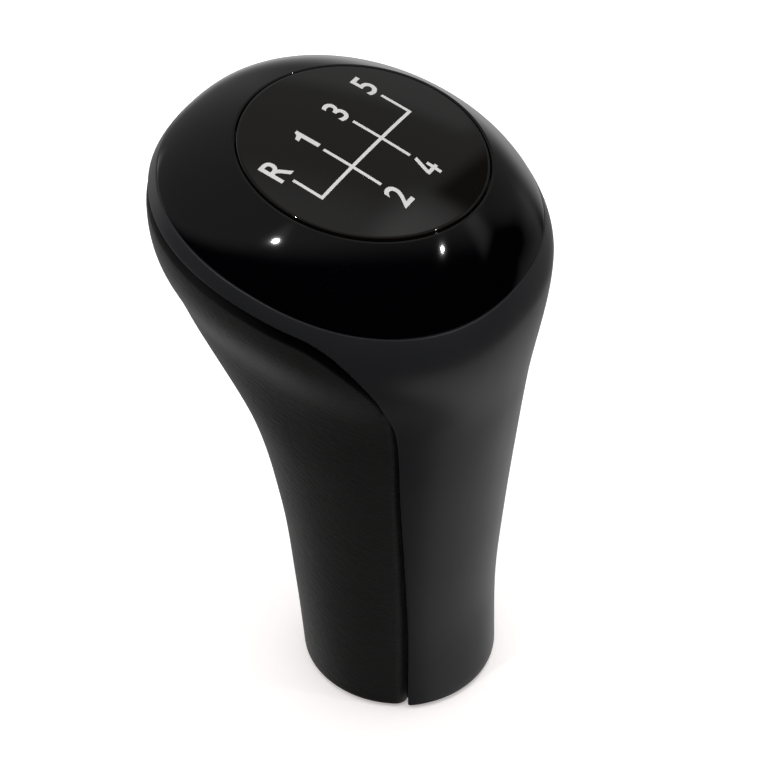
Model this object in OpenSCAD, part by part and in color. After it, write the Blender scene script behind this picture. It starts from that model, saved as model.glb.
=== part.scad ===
// Gear shift knob: a gloss crown with a round gear pattern disc, a satin housing whose spine runs down
// the back, and a leather facing round the front. It is pushed onto the lever from above.
// Frame: the origin lies on the lever's axis, in the plane of the foot. +Y is the car's front, +Z is up.
// The outer form is one skin, lofted through six sections. Every shell is cut from that skin at its own
// depth, and the leather field's outline is drawn in side view.

/* [Sections of the outer form] */
// Length of the foot, front to back
foot_length = 27.9; // [26.8:0.1:30]
// Width of the foot
foot_width = 27.4; // [25.8:0.1:29]
// Length of the shank, one fifth of the way up
shank_length = 28.5; // [27.6:0.1:30]
// Width of the shank
shank_width = 29; // [27.8:0.1:30.5]
// Length of the grip, two fifths of the way up
grip_length = 31.2; // [30:0.1:33]
// Width of the grip
grip_width = 30.8; // [29.6:0.1:33]
// Length of the neck, three fifths of the way up
neck_length = 37; // [34:0.1:40]
// Width of the neck
neck_width = 33.6; // [31:0.1:37]
// Length of the shoulder, four fifths of the way up
shoulder_length = 49.3; // [44:0.1:51]
// Width of the shoulder
shoulder_width = 37.7; // [35:0.1:45]
// Length of the crown at its widest section
crown_length = 51.7; // [48:0.1:54]
// Width of the crown at its widest section
crown_width = 50.8; // [47:0.1:54]
// Height of the crown's widest section
crown_z = 73.8; // [70:0.1:78]
// Squareness of the crown's section, where 2 is an ellipse
crown_square = 2.26; // [2:0.01:2.5]
// How far the shank's centre lies forward of the lever's axis
shank_forward = 0.7; // [0:0.1:1]
// How far the grip's centre lies forward
grip_forward = 1.1; // [0.5:0.1:1.6]
// How far the neck's centre lies forward
neck_forward = 2.6; // [1.8:0.1:3.4]
// How far the shoulder's centre lies forward
shoulder_forward = 7; // [6:0.1:7.6]
// How far the crown's centre lies forward
crown_forward = 6.8; // [6:0.1:8]
// Radius that rounds the foot's lower edge
foot_round = 1.4; // [0.8:0.1:1.6]

/* [Pattern disc] */
// Diameter of the disc
disc_d = 32; // [28:0.1:34]
// Height of the crown's opening on the disc's axis
disc_z = 85.5; // [84:0.1:88]
// How far the disc's centre lies forward of the lever's axis
disc_forward = 4.8; // [3.8:0.1:6]
// Tilt of the disc, nose up
disc_tilt = 10.3; // [8:0.1:12]
// Thickness of the disc at its edge
disc_edge = 1.8; // [1.4:0.1:2.2]
// Rise of the disc's face from edge to centre
disc_dome = 0.7; // [0.3:0.1:1.2]
// How far the disc's edge stands out of the crown
disc_proud = 0.3; // [0:0.05:0.5]
// Radius that rounds the disc's edge
disc_round = 0.5; // [0.2:0.1:0.8]
// Gap round the disc
disc_gap = 0.12; // [0.05:0.01:0.25]
// Land between the gap and the start of the crown's curve
disc_land = 0.4; // [0.3:0.05:0.8]
// Thickness of the adhesive pad under the disc
pad_t = 0.4; // [0.2:0.1:0.8]
// How far the pad's edge stays inside the disc's edge
pad_margin = 1; // [0.5:0.1:3]

/* [Collar and seam] */
// Height on the spine of the joint between crown and collar
joint_z = 78.6; // [77.6:0.1:80]
// Width of the collar band between that joint and the leather
collar_h = 2; // [1.6:0.1:2.8]
// Tilt of the collar, nose up
collar_tilt = 14; // [12:0.1:16]
// How far behind the lever's axis the seam starts at the foot
seam_back = 7.6; // [7:0.1:8.2]
// How far the seam has drifted back at the top of its straight run
seam_drift = 1.1; // [0.4:0.1:1.8]
// Radius of the seam's upper corner
seam_corner = 11.6; // [8:0.1:13]
// Gap along the seam at the foot
seam_gap_foot = 1; // [0.6:0.05:1.4]
// Gap along the seam at the top of its straight run
seam_gap_top = 0.5; // [0.3:0.05:0.8]
// Gap between the leather and the collar's lower edge
lip_gap = 0.25; // [0.15:0.05:0.5]
// Depth of the leather's face below the housing's face
leather_sink = 0.4; // [0.2:0.05:0.6]
// Height of the leather's lower edge above the foot
leather_lift = 0.25; // [0.15:0.05:0.6]

/* [Walls] */
// Wall of the housing
housing_wall = 1.9; // [1.7:0.05:2]
// Thickness of the leather
leather_t = 1.1; // [0.8:0.05:1.2]
// Wall of the panel that carries the leather
panel_wall = 1.5; // [1.3:0.05:1.6]
// Floor of the disc's seat
seat_floor = 2; // [1.6:0.1:2.6]
// Step between parts that slide past each other when they are put together
slip = 0.1; // [0.05:0.01:0.15]
// Space between the core's ribs and the shells round them
core_slack = 0.3; // [0.2:0.05:0.4]
// Height of the stiffening ribs inside the spine
spine_rib = 1.2; // [0.8:0.1:1.3]
// Thickness of the ribs and decks
rib_t = 1.6; // [1.2:0.1:2.2]

/* [Lever socket] */
// Diameter of the lever's bore
lever_d = 12; // [11.4:0.02:12.2]
// Depth of the bore up to the ring's groove
lever_depth = 42; // [36:0.5:44]
// Depth of the bore beyond the groove
tip_depth = 6; // [4:0.5:8]
// Wall of the socket
socket_wall = 1.2; // [1:0.05:1.3]
// Diameter of the retaining ring's wire
wire_d = 1.2; // [1:0.05:1.4]
// How far the relaxed ring reaches into the bore
ring_bite = 0.4; // [0.2:0.05:0.5]
// Opening of the ring, in degrees
ring_opening = 60; // [30:5:90]
// Width of the key slot along the bore
key_w = 3; // [2:0.1:3.6]
// Depth of the key slot
key_depth = 0.7; // [0.4:0.05:0.8]
// Wall of the rubber damper
damper_wall = 1.1; // [0.9:0.05:1.2]
// Wall of the core's tube
tube_wall = 1.2; // [1:0.05:1.3]
// Radial gap between the sleeves
sleeve_gap = 0.05; // [0.02:0.01:0.08]

/* [Hidden] */

// Points round a section and round a hidden one, and steps up stem, dome, core and quarter round
around = 48;
inner_around = 24;
stem_steps = 12;
dome_steps = 7;
core_steps = 8;
round_steps = 3;

// The sections as half sizes, evenly spaced from the foot to the crown's widest section
half_length = [foot_length, shank_length, grip_length, neck_length, shoulder_length, crown_length] / 2;
half_width = [foot_width, shank_width, grip_width, neck_width, shoulder_width, crown_width] / 2;
forward = [0, shank_forward, grip_forward, neck_forward, shoulder_forward, crown_forward];
section_step = crown_z / (len(forward) - 1);

// The collar's lower edge on the spine, and the crown's opening
seam_z = joint_z - collar_h;
opening_r = disc_d / 2 + disc_gap + disc_land;
seat_r = disc_d / 2 + disc_gap;
seat_depth = pad_t + disc_edge - disc_proud;
floor_under = seat_depth + seat_floor;
floor_inset = 0.5;
floor_r = opening_r - floor_inset;
hub_r = 4;

// Depths of the layers below the outer skin
leather_under = leather_sink + leather_t;
glue = 0.05;
tongue_depth = housing_wall + slip;
panel_depth = leather_under + glue;
panel_under = panel_depth + panel_wall;
core_depth = panel_under + core_slack;
tongue_w = 2.5;
spigot_depth = housing_wall + slip;
shelf_reach = 0.6;
shelf_depth = panel_under + shelf_reach;
leg_t = 1.2;
leg_depth = shelf_depth + slip;
leg_under = leg_depth + leg_t;
core_head_depth = leg_under + core_slack;

// Heights inside the head, on the spine, and the crown's snap legs
shelf_t = 1.2;
shelf_top = seam_z + shelf_t;
leg_w = 6;
leg_out = 10;
leg_drop = 2.4;
barb_lead = 0.6;
skirt_rise = 1.5;
leg_low = seam_z - leg_drop;
core_head_z = leg_low - 2 * core_slack;
skirt_z = joint_z + skirt_rise;

// Radii and heights round the lever
bore_r = lever_d / 2;
socket_r = bore_r + socket_wall;
damper_in = socket_r + sleeve_gap;
damper_r = damper_in + damper_wall;
tube_in = damper_r + sleeve_gap;
tube_r = tube_in + tube_wall;
foot_flange = 1.2;
ring_play = 0.2;
groove_h = wire_d + ring_play;
wire_r = bore_r - ring_bite + wire_d / 2;
groove_r = wire_r + wire_d / 2 + sleeve_gap / 2;
head_drop = 2;
socket_head_z = lever_depth - head_drop;
bore_top = lever_depth + groove_h + tip_depth;
socket_top = bore_top + socket_wall;
key_length = lever_depth - 2 * head_drop;

// Places of the core's ribs and decks, and of the ribs inside the spine
core_rib_step = 9;
deck_heights = [18, 34, 50, 64];
deck_lift = 1;
seat_plate_r = 12;
spine_rib_x = 4;
spine_rib_top = seam_z - 12;

// Sizes past the part that cutting solids reach, and the overlap that keeps cuts clean
big = 200;
skim = 0.02;

// Rises from 0 to 1 with level ends
function ease(t) = let(u = max(0, min(1, t))) u * u * (3 - 2 * u);
function unit(v) = v / norm(v);

// Smooth curve through the values v of the sections, between section i and the next
function slope(v, i) = i == 0 ? v[1] - v[0] : i == len(v) - 1 ? 0 : (v[i + 1] - v[i - 1]) / 2;
function along(v, i, u) =
    (2 * u^3 - 3 * u^2 + 1) * v[i] + (u^3 - 2 * u^2 + u) * slope(v, i)
    + (3 * u^2 - 2 * u^3) * v[i + 1] + (u^3 - u^2) * slope(v, i + 1);

// Tilt of the section at height h on the spine: level at the foot, then the collar's, then the disc's
function tilt(h) =
    h <= seam_z ? collar_tilt * ease(h / seam_z)
    : h <= joint_z ? collar_tilt
    : collar_tilt + (disc_tilt - collar_tilt) * (h - joint_z) / (disc_z - joint_z);

// Section at height h: half length, half width, centre and squareness
function stem_section(h) =
    let(t = max(0, h) / section_step, i = min(floor(t), len(forward) - 2), u = t - i)
    [along(half_length, i, u), along(half_width, i, u), along(forward, i, u),
        2 + (crown_square - 2) * ease(h / crown_z)];
function dome_section(h) =
    let(k = (h - crown_z) / (disc_z - crown_z), g = 1 - k^2)
    [opening_r + (crown_length / 2 - opening_r) * g, opening_r + (crown_width / 2 - opening_r) * g,
        disc_forward + (crown_forward - disc_forward) * g, 2 + (crown_square - 2) * g];
function section(h) = h <= crown_z ? stem_section(h) : dome_section(h);

// Point of the outer skin at height h and angle a, where 0 is the front and 90 the right
function blunt(c, power) = sign(c) * pow(abs(c), 2 / power);
function skin(h, a) =
    let(s = section(h), v = s[0] * blunt(cos(a), s[3]))
    [s[1] * blunt(sin(a), s[3]), s[2] + v * cos(tilt(h)), h + v * sin(tilt(h))];
function outward(h, a) =
    unit(cross(skin(h + 0.2, a) - skin(max(0, h - 0.2), a), skin(h, a + 1) - skin(h, a - 1)));

// Points at a depth below the skin: square to it on the stem, level with the section above the widest part
function below(h, a, depth) = skin(h, a) - depth * outward(h, a);
function level(h, a, depth) =
    let(s = section(h), v = (s[0] - depth) * blunt(cos(a), s[3]))
    [(s[1] - depth) * blunt(sin(a), s[3]), s[2] + v * cos(tilt(h)), h + v * sin(tilt(h))];
function turns(n) = [for (i = [0:n - 1]) 360 * i / n];
function level_ring(h, depth, n = around) = [for (a = turns(n)) level(h, a, depth)];
function ring(h, depth, n = around) =
    h > crown_z ? level_ring(h, depth, n) : [for (a = turns(n)) below(h, a, depth)];
function foot_ring(z, depth, n = around) = [for (p = ring(0, depth, n)) [p.x, p.y, z]];

// A circle about the disc's axis, with a point for each point of a ring
function disc_ring(r, z) = [for (a = turns(around))
    [r * sin(a), disc_forward + r * cos(a) * cos(disc_tilt) - z * sin(disc_tilt),
        disc_z + r * cos(a) * sin(disc_tilt) + z * cos(disc_tilt)]];

// Heights of the rings up the stem, closer together where it flares, and up the dome
stem_heights = concat(
    [for (i = [0:stem_steps]) foot_round + (seam_z - foot_round) * pow(i / stem_steps, 0.75)], [joint_z]);
dome_heights = [for (i = [0:dome_steps]) joint_z + (disc_z - joint_z) * sin(90 * i / dome_steps)];

// The rings of the skin up the stem at a depth, with a rounded foot
function stem_rings(depth) = concat(
    [for (i = [0:round_steps - 1]) let(q = 90 * i / round_steps)
        foot_ring(foot_round * (1 - cos(q)), depth + foot_round * (1 - sin(q)))],
    [for (h = stem_heights) ring(h, depth)]);

// The same with a plain foot, for the inner layers
function layer_rings(depth, n = around) =
    concat([foot_ring(0, depth, n)], [for (h = stem_heights) ring(h, depth, n)]);
function reversed(list) = [for (i = [len(list) - 1:-1:0]) list[i]];

// Quads between each ring and the next
function strips(n, count, total) = [for (j = [0:count - 1], i = [0:n - 1])
    let(a = j * n + i, b = j * n + (i + 1) % n, c = (b + n) % total, d = (a + n) % total)
    each [[a, b, c], [a, c, d]]];

// Closed solid through rings that all have the same number of points
module loft(rings) {
    n = len(rings[0]);
    last = (len(rings) - 1) * n;
    ends = [[for (i = [n - 1:-1:0]) i], [for (i = [0:n - 1]) last + i]];
    polyhedron([for (points = rings) each points], concat(strips(n, len(rings) - 1, last + n), ends));
}

// Hollow solid whose section is the closed path from ring to ring: up the outside and down the inside
module hollow_loft(rings) {
    n = len(rings[0]);
    polyhedron([for (points = rings) each points], strips(n, len(rings), len(rings) * n));
}

// A shell of the stem between two depths
module stem_shell(depth, under, n = around) {
    hollow_loft(concat(layer_rings(depth, n), reversed(layer_rings(under, n))));
}

// A band of the head between two heights and two depths
module band(low, high, depth, under) {
    hollow_loft([ring(low, depth), ring(high, depth), ring(high, under), ring(low, under)]);
}

// Holds its children as one fine mesh
module carved() {
    resize([0, 0, 0]) union() children();
}

// A side view outline as a prism right across the knob
module across() {
    rotate([90, 0, 90]) linear_extrude(2 * crown_width, center = true) children();
}

// Field in side view: behind it the seam, above it the collar. set_in moves the seam forward and down.
module field(set_in_foot, set_in_top, drop, low) {
    back_foot = seam_back - set_in_foot;
    back_top = seam_back + seam_drift - set_in_top;
    lean = (back_top - back_foot) / seam_z;
    rise = tan(collar_tilt);
    edge_z = seam_z - section(seam_z)[2] * rise - drop / cos(collar_tilt);
    corner_z = (edge_z - rise * back_foot) / (1 + rise * lean);
    reach = 2 * crown_length;
    across() intersection() {
        offset(r = seam_corner) offset(delta = -seam_corner) polygon([
            [-back_foot + lean * reach, -reach],
            [-back_foot - lean * corner_z, corner_z],
            [reach, edge_z + rise * reach],
            [reach, -reach]
        ]);
        translate([-reach, low]) square([3 * reach, 2 * big]);
    }
}

// Field of the opening in the housing, of the leather, and of the panel's face inside the turned-in hem
module housing_field() {
    field(-seam_gap_foot / 2, -seam_gap_top / 2, -skim, -big);
}
module leather_field() {
    field(seam_gap_foot / 2, seam_gap_top / 2, lip_gap, leather_lift);
}
module panel_field(slack = 0) {
    set_in = leather_t + slack;
    field(seam_gap_foot / 2 + set_in, seam_gap_top / 2 + set_in, lip_gap + set_in, leather_lift - slack);
}
module tongue_field() {
    field(-tongue_w, -tongue_w, lip_gap, leather_lift);
}

// Frame of the disc: origin in the centre of the crown's opening, +Z out of the disc
module on_disc() {
    translate([0, disc_forward, disc_z]) rotate([disc_tilt, 0, 0]) children();
}

// The four corners of the head where the crown's legs stand
module at_legs() {
    for (a = [45:90:315]) translate([0, crown_forward, 0]) rotate([0, 0, a]) children();
}

module head_cap() {
    barb_depth = panel_under + slip;
    color([0.05, 0.05, 0.07]) carved() {
        hollow_loft(concat(
            [ring(shelf_top + slip, leg_under), ring(shelf_top + slip, spigot_depth)],
            [ring(joint_z, spigot_depth)],
            [for (h = dome_heights) ring(h, 0)],
            [disc_ring(seat_r, 0), disc_ring(seat_r, -seat_depth), disc_ring(hub_r, -seat_depth)],
            [disc_ring(hub_r, -floor_under), disc_ring(floor_r, -floor_under), ring(skirt_z, leg_under)]
        ));
        intersection() {
            union() {
                band(leg_low, joint_z, leg_depth, leg_under - slip);
                band(leg_low + barb_lead, seam_z - slip, barb_depth, leg_depth + leg_t / 2);
            }
            at_legs() translate([leg_out, -leg_w / 2, 0]) cube([crown_width, leg_w, big]);
        }
    }
}

module pattern_disc() {
    r = disc_d / 2;
    face_r = r - disc_round;
    chamfer = disc_round * 0.6;
    face_steps = 8;
    edge_steps = 4;
    profile = concat(
        [[0, -disc_edge], [r - chamfer, -disc_edge], [r, chamfer - disc_edge]],
        [for (i = [0:edge_steps]) let(q = 90 * i / edge_steps)
            [face_r + disc_round * cos(q), disc_round * sin(q) - disc_round]],
        [for (i = [1:face_steps]) let(x = face_r * cos(90 * i / face_steps))
            [x, disc_dome * (1 - (x / face_r)^2)]]
    );
    color([0.13, 0.12, 0.11]) on_disc() translate([0, 0, disc_proud])
        rotate_extrude($fn = 120) polygon(profile);
}

module disc_pad() {
    color([0.75, 0.75, 0.72]) on_disc() translate([0, 0, -seat_depth]) difference() {
        cylinder(pad_t, r = disc_d / 2 - pad_margin, $fn = 96);
        translate([0, 0, -pad_t]) cylinder(3 * pad_t, r = hub_r, $fn = 48);
    }
}

module body_shell() {
    color([0.14, 0.14, 0.15]) carved() {
        difference() {
            hollow_loft(concat(
                stem_rings(0),
                [ring(joint_z, housing_wall), ring(shelf_top, housing_wall)],
                [ring(shelf_top, shelf_depth), ring(seam_z, shelf_depth), ring(seam_z, housing_wall)],
                reversed([for (h = stem_heights) if (h < seam_z - shelf_t) ring(h, housing_wall)]),
                [foot_ring(0, housing_wall)]
            ));
            housing_field();
        }
        intersection() {
            stem_shell(housing_wall / 2, housing_wall + spine_rib);
            for (x = [-spine_rib_x, spine_rib_x]) translate([x - rib_t / 2, -big, 2 * foot_round])
                cube([rib_t, big, spine_rib_top - 2 * foot_round]);
        }
    }
}

module leather_cover() {
    color([0.11, 0.1, 0.1]) carved() difference() {
        intersection() {
            hollow_loft(concat(stem_rings(leather_sink), reversed(layer_rings(tongue_depth - glue))));
            leather_field();
        }
        intersection() {
            stem_shell(leather_under, panel_under);
            panel_field();
        }
    }
}

module front_panel() {
    color([0.2, 0.2, 0.22]) carved() {
        intersection() {
            stem_shell(panel_depth, (tongue_depth + panel_under) / 2, inner_around);
            panel_field(glue);
        }
        intersection() {
            stem_shell(tongue_depth, panel_under, inner_around);
            tongue_field();
        }
    }
}

// Plates of the core: upright ribs fore and aft and across, and decks that follow the form's tilt
module core_plates() {
    for (x = [-core_rib_step, 0, core_rib_step])
        translate([x - rib_t / 2, -big / 2, 0]) cube([rib_t, big, big]);
    translate([-big / 2, -rib_t / 2, 0]) cube([big, rib_t, big]);
    translate([-big / 2, -big / 2, deck_lift]) cube([big, big, rib_t]);
    for (h = deck_heights) translate([0, section(h)[2], h]) rotate([tilt(h), 0, 0])
        translate([-big / 2, -big / 2, 0]) cube([big, big, rib_t]);
}

// Outline of the core: the stem up to the crown's legs, and a narrower head inside them
module core_form() {
    loft([for (i = [0:core_steps]) ring(core_head_z * i / core_steps, core_depth, inner_around)]);
    loft([for (h = [core_head_z - rib_t, seam_z, skirt_z, disc_z - seat_depth])
        level_ring(h, core_head_depth, inner_around)]);
}

module core() {
    plate_z = -floor_under - slip;
    tube_top = socket_top + sleeve_gap;
    color([0.3, 0.3, 0.31]) difference() {
        union() {
            cylinder(tube_top + rib_t, r = tube_r, $fn = 96);
            carved() intersection() {
                core_form();
                core_plates();
                on_disc() translate([-big / 2, -big / 2, plate_z - big]) cube(big);
            }
            on_disc() translate([0, 0, plate_z - rib_t]) cylinder(rib_t, r = seat_plate_r, $fn = 96);
        }
        translate([0, 0, -rib_t]) cylinder(tube_top + rib_t, r = tube_in, $fn = 96);
    }
}

module damper_sleeve() {
    color([0.08, 0.08, 0.08]) translate([0, 0, foot_flange]) difference() {
        cylinder(socket_head_z - foot_flange, r = damper_r, $fn = 96);
        translate([0, 0, -foot_flange]) cylinder(socket_head_z + foot_flange, r = damper_in, $fn = 96);
    }
}

module lever_socket() {
    color([0.85, 0.84, 0.8]) difference() {
        union() {
            cylinder(socket_top, r = socket_r, $fn = 96);
            cylinder(foot_flange, r = damper_r, $fn = 96);
            translate([0, 0, socket_head_z]) cylinder(socket_top - socket_head_z, r = damper_r, $fn = 96);
        }
        translate([0, 0, -foot_flange]) cylinder(bore_top + foot_flange, r = bore_r, $fn = 96);
        translate([0, 0, lever_depth]) cylinder(groove_h, r = groove_r, $fn = 96);
        translate([-key_w / 2, 0, -foot_flange]) cube([key_w, bore_r + key_depth, key_length + foot_flange]);
    }
}

module retaining_ring() {
    color([0.7, 0.71, 0.74]) translate([0, 0, lever_depth + groove_h / 2])
        rotate([0, 0, 90 + ring_opening / 2]) rotate_extrude(angle = 360 - ring_opening, $fn = 96)
            translate([wire_r, 0]) circle(wire_d / 2, $fn = 24);
}

head_cap();
pattern_disc();
disc_pad();
body_shell();
leather_cover();
front_panel();
core();
damper_sleeve();
lever_socket();
retaining_ring();
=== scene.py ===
import math

import bmesh
import bpy
from mathutils import Matrix, Vector


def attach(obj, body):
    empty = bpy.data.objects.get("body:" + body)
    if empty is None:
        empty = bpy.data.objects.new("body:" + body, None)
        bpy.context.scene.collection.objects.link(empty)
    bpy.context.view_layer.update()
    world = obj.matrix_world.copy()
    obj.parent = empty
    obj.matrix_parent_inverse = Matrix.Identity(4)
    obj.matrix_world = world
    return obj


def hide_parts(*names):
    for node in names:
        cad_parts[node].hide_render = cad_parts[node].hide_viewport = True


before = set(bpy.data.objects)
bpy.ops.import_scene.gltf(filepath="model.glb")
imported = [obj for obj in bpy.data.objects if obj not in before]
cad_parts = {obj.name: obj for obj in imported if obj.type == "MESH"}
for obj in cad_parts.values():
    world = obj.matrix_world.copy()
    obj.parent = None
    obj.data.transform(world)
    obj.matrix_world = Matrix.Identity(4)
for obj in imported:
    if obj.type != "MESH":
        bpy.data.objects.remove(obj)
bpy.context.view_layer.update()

# Sizes are in millimetres and turned to metres when a mesh is placed. They are the part's own driving values.
MM = 0.001

# Sections of the outer form, evenly spaced from the foot to the crown's widest section
LENGTHS = [27.9, 28.5, 31.2, 37, 49.3, 51.7]
WIDTHS = [27.4, 29, 30.8, 33.6, 37.7, 50.8]
FORWARD = [0, 0.7, 1.1, 2.6, 7, 6.8]
CROWN_Z = 73.8
CROWN_SQUARE = 2.26
FOOT_ROUND = 1.4

# Disc and its seat
DISC_R = 16
DISC_Z = 85.5
DISC_FORWARD = 4.8
DISC_TILT = math.radians(10.3)
DISC_EDGE = 1.8
DISC_DOME = 0.7
DISC_PROUD = 0.3
DISC_ROUND = 0.5
DISC_GAP = 0.12
DISC_LAND = 0.4
PAD_T = 0.4
SEAT_FLOOR = 2
HUB_R = 4
FLOOR_INSET = 0.5
DISC_CHAMFER = 0.3
DISC_FLAT_R = DISC_R - DISC_ROUND
OPENING_R = DISC_R + DISC_GAP + DISC_LAND
SEAT_R = DISC_R + DISC_GAP
SEAT_DEPTH = PAD_T + DISC_EDGE - DISC_PROUD
FLOOR_UNDER = SEAT_DEPTH + SEAT_FLOOR

# Collar, seam and walls
JOINT_Z = 78.6
COLLAR_H = 2
SEAM_Z = JOINT_Z - COLLAR_H
COLLAR_TILT = math.radians(14)
SEAM_BACK = 7.6
SEAM_DRIFT = 1.1
SEAM_CORNER = 11.6
SEAM_GAP_FOOT = 1
SEAM_GAP_TOP = 0.5
LIP_GAP = 0.25
LEATHER_SINK = 0.4
LEATHER_LIFT = 0.25
LEATHER_T = 1.1
LEATHER_UNDER = LEATHER_SINK + LEATHER_T
SLIP = 0.1
HOUSING_WALL = 1.9
HEM_UNDER = HOUSING_WALL + SLIP / 2
GLUE = 0.05
PANEL_WALL = 1.5
PANEL_UNDER = LEATHER_UNDER + GLUE + PANEL_WALL
SPIGOT_DEPTH = HOUSING_WALL + SLIP
SHELF_T = 1.2
SHELF_REACH = 0.6
SHELF_TOP = SEAM_Z + SHELF_T
SHELF_DEPTH = PANEL_UNDER + SHELF_REACH
SKIRT_RISE = 1.5
SKIRT_Z = JOINT_Z + SKIRT_RISE

# Ribs inside the spine, from RIB_LOW above the foot to RIB_DROP below the collar
SPINE_RIB = 1.2
RIB_T = 1.6
RIB_X = 4
RIB_DROP = 12
RIB_LOW = 2 * FOOT_ROUND
RIB_TOP = SEAM_Z - RIB_DROP

# Snap legs of the crown, which hook under the shelf inside the collar
LEGS = 4
LEG_W = 6
LEG_T = 1.2
LEG_DROP = 2.4
LEG_DEPTH = SHELF_DEPTH + SLIP
LEG_UNDER = LEG_DEPTH + LEG_T
LEG_LOW = SEAM_Z - LEG_DROP
BARB_LEAD = 0.6
BARB_DEPTH = PANEL_UNDER + SLIP

# Radii that the moulded and turned edges have. The leather's hem rolls in by HEM_ROUND and down by HEM_FALL,
# and is HEM_AT_COLLAR times as wide at the collar.
LIP_ROUND = 0.22
HEM_ROUND = 0.8
HEM_FALL = 0.6
HEM_AT_COLLAR = 1.6
JOINT_ROUND = 0.12
LAND_ROUND = 0.15

# Counts of mesh cells
AROUND = 192
DOME_ROWS = 44
FOOT_ROWS = 6
STRAIGHT_ROWS = 58
CORNER_ROWS = 22
LEATHER_COLUMNS = 96
BACK_COLUMNS = 72
COLLAR_COLUMNS = BACK_COLUMNS + LEATHER_COLUMNS
COLLAR_ROWS = 5
ROUND_ROWS = 8
RIB_ROWS = 40
LEG_COLUMNS = 10
DISC_ROUND_ROWS = 8
DISC_DOME_ROWS = 24
SIDE_ROWS = FOOT_ROWS + STRAIGHT_ROWS + CORNER_ROWS

# How finely places are searched for: halvings of a span of heights or of turns, and corrections of an aim
HEIGHT_HALVINGS = 26
TURN_HALVINGS = 24
CORRECTIONS = 6

# Points nearer than MERGE, in metres, become one. Edges are sharp from these angles, in degrees.
MERGE = 1e-7
SHARP_FROM = 35
LEATHER_SHARP_FROM = 50


def ease(t):
    u = min(max(t, 0), 1)
    return u * u * (3 - 2 * u)


def slope(values, i):
    if i == 0:
        return values[1] - values[0]
    if i == len(values) - 1:
        return 0
    return (values[i + 1] - values[i - 1]) / 2


def along(values, i, u):
    """Smooth curve through the values of the sections, between section i and the next."""
    return (
        (2 * u**3 - 3 * u**2 + 1) * values[i] + (u**3 - 2 * u**2 + u) * slope(values, i)
        + (3 * u**2 - 2 * u**3) * values[i + 1] + (u**3 - u**2) * slope(values, i + 1)
    )


def tilt(h):
    """Tilt of the section at height h: level at the foot, then the collar's, then the disc's."""
    if h <= SEAM_Z:
        return COLLAR_TILT * ease(h / SEAM_Z)
    if h <= JOINT_Z:
        return COLLAR_TILT
    return COLLAR_TILT + (DISC_TILT - COLLAR_TILT) * (h - JOINT_Z) / (DISC_Z - JOINT_Z)


def section(h):
    """Half length, half width, centre and squareness of the section at height h."""
    if h <= CROWN_Z:
        t = max(0, h) / CROWN_Z * (len(FORWARD) - 1)
        i = min(int(t), len(FORWARD) - 2)
        u = t - i
        square = 2 + (CROWN_SQUARE - 2) * ease(h / CROWN_Z)
        return along(LENGTHS, i, u) / 2, along(WIDTHS, i, u) / 2, along(FORWARD, i, u), square
    g = 1 - ((h - CROWN_Z) / (DISC_Z - CROWN_Z)) ** 2
    return (
        OPENING_R + (LENGTHS[-1] / 2 - OPENING_R) * g,
        OPENING_R + (WIDTHS[-1] / 2 - OPENING_R) * g,
        DISC_FORWARD + (FORWARD[-1] - DISC_FORWARD) * g,
        2 + (CROWN_SQUARE - 2) * g,
    )


def blunt(c, power):
    return math.copysign(abs(c) ** (2 / power), c)


def ring_point(h, a, inset=0):
    """Point at height h and angle a, 0 at the front, of the section drawn in by inset in its own plane."""
    half_length, half_width, centre, square = section(h)
    v = (half_length - inset) * blunt(math.cos(a), square)
    x = (half_width - inset) * blunt(math.sin(a), square)
    return Vector((x, centre + v * math.cos(tilt(h)), h + v * math.sin(tilt(h))))


def outward(h, a):
    step_h = 0.2
    step_a = math.radians(1)
    up = ring_point(h + step_h, a) - ring_point(max(0, h - step_h), a)
    side = ring_point(h, a + step_a) - ring_point(h, a - step_a)
    return up.cross(side).normalized()


def layer(h, a, depth, rounded=True):
    """Point at a depth square to the skin. A rounded layer draws in round the foot's edge."""
    if h >= FOOT_ROUND:
        return ring_point(h, a) - outward(h, a) * depth
    drawn_in = FOOT_ROUND - math.sqrt(FOOT_ROUND**2 - (FOOT_ROUND - h) ** 2) if rounded else 0
    point = ring_point(h, a) - outward(h, a) * (depth + drawn_in)
    point.z = h
    return point


def dome(r):
    """Height of the disc's face above its edge, at distance r from the disc's axis."""
    return DISC_DOME * (1 - (r / DISC_FLAT_R) ** 2)


def disc_point(r, a, z):
    """Point of a circle about the disc's axis, z above the crown's opening."""
    return Vector((
        r * math.sin(a),
        DISC_FORWARD + r * math.cos(a) * math.cos(DISC_TILT) - z * math.sin(DISC_TILT),
        DISC_Z + r * math.cos(a) * math.sin(DISC_TILT) + z * math.cos(DISC_TILT),
    ))


def collar_line(drop):
    """Height over the lever's axis of a line that lies drop below the collar's edge, in side view."""
    return SEAM_Z - section(SEAM_Z)[2] * math.tan(COLLAR_TILT) - drop / math.cos(COLLAR_TILT)


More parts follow.
